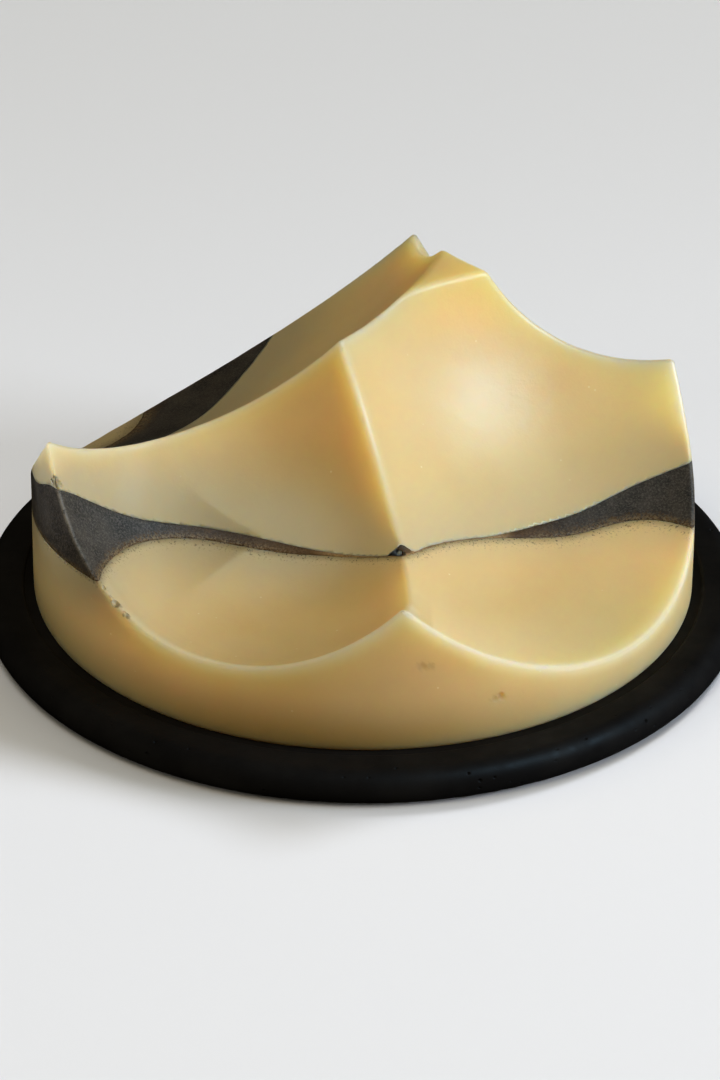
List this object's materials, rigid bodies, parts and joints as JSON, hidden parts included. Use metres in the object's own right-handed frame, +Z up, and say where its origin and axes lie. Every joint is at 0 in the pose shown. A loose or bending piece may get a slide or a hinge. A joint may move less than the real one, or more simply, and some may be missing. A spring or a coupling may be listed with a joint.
{
  "type": "shaving soap puck",
  "caption": "Round cast soap puck carved by four ball-shaped scoops, a dark charcoal layer between two ivory pours, lying loose in the shallow seat of a black round dish.",
  "frame": {"origin": "centre of the dish's flat underside, on the surface it stands on", "axes": "+Z up through the puck, -Y towards the front with its low ridge, +X to the right seen from the front"},
  "size_m": [0.0924, 0.0924, 0.0377],
  "materials": {
    "soap_ivory": "smooth waxy translucent soap, satin",
    "soap_charcoal": "soap loaded with powdered charcoal, speckled, matt",
    "dish_black": "cast mineral, black through, smooth matt with pinholes"
  },
  "bodies": {
    "dish": {"dish": "dish_black"},
    "puck": {"lower_soap": "soap_ivory", "charcoal_layer": "soap_charcoal", "upper_soap": "soap_ivory"}
  },
  "joints": [
    {"name": "puck_lift", "type": "slide", "parent": "dish", "child": "puck", "axis": [0, 0, 1], "range_m": [0, 0.05]}
  ]
}
